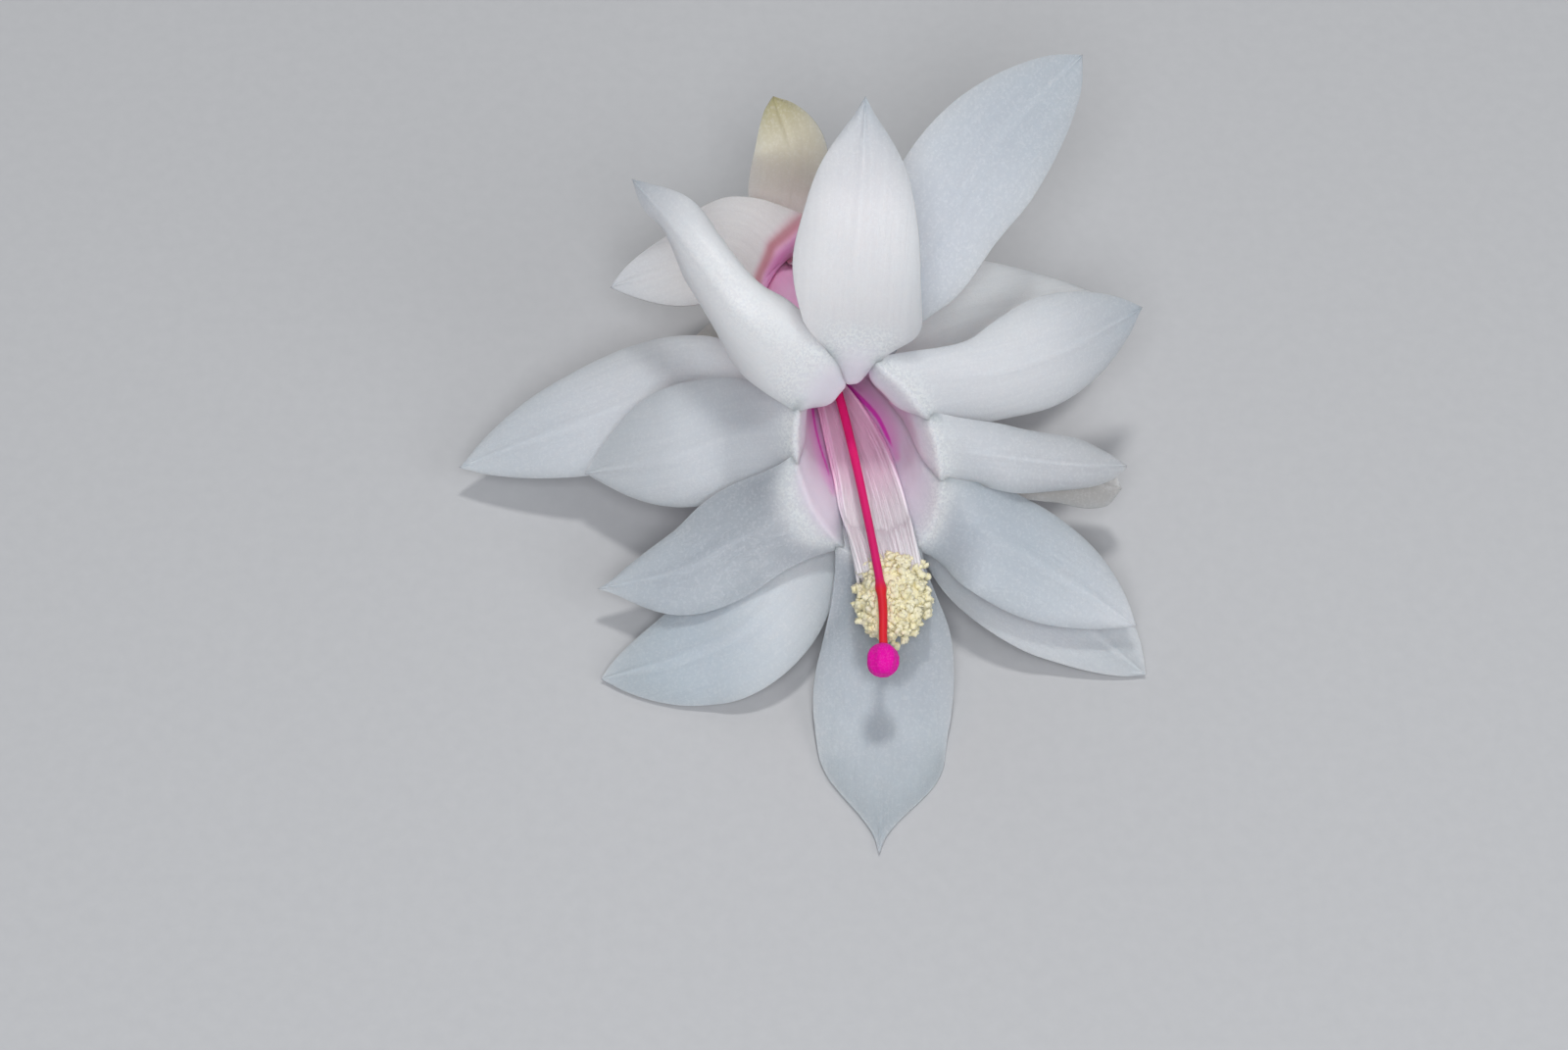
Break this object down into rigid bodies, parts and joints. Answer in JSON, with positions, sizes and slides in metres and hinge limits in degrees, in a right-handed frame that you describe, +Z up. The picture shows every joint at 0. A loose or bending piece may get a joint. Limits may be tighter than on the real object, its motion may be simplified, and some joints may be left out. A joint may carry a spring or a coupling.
{
  "type": "picked christmas cactus bloom",
  "caption": "Single picked Christmas cactus bloom, white with a pink throat, crimson style and yellow anthers, lying on its side on a surface.",
  "frame": {"origin": "on the surface that the bloom lies on, under the middle of its bounding box", "axes": "+Z up from the surface; the throat looks towards -Y and up, and the pericarpel is at the back, +Y; +X is to the right of someone who looks into the throat"},
  "size_m": [0.0546, 0.0594, 0.0329],
  "materials": {
    "white_tepal": "satin",
    "beige_tepal": "satin",
    "pink_tube": "satin",
    "green_tissue": "satin",
    "crimson_style": "gloss",
    "magenta_stigma": "satin",
    "pale_filaments": "satin",
    "yellow_anthers": "matte"
  },
  "bodies": {
    "root": {"pericarpel": "green_tissue", "floral_tube": "pink_tube", "style": "crimson_style", "stigma": "magenta_stigma", "anthers": "yellow_anthers", "filaments": "pale_filaments", "upper_left_tepal": "white_tepal", "top_tepal": "white_tepal", "right_tepal": "white_tepal", "lower_right_tepal": "white_tepal", "right_small_tepal": "white_tepal", "lower_tepal": "white_tepal", "left_tepal": "white_tepal", "far_left_tepal": "white_tepal", "lower_left_outer_tepal": "white_tepal", "far_left_outer_tepal": "white_tepal", "top_right_outer_tepal": "white_tepal", "top_outer_tepal": "white_tepal", "right_outer_tepal": "white_tepal", "right_small_outer_tepal": "white_tepal", "lower_right_outer_tepal": "white_tepal", "basal_top_tepal": "beige_tepal", "basal_left_tepal": "beige_tepal", "basal_right_tepal": "beige_tepal", "basal_lower_left_tepal": "beige_tepal", "basal_lower_right_tepal": "beige_tepal"}
  },
  "joints": []
}
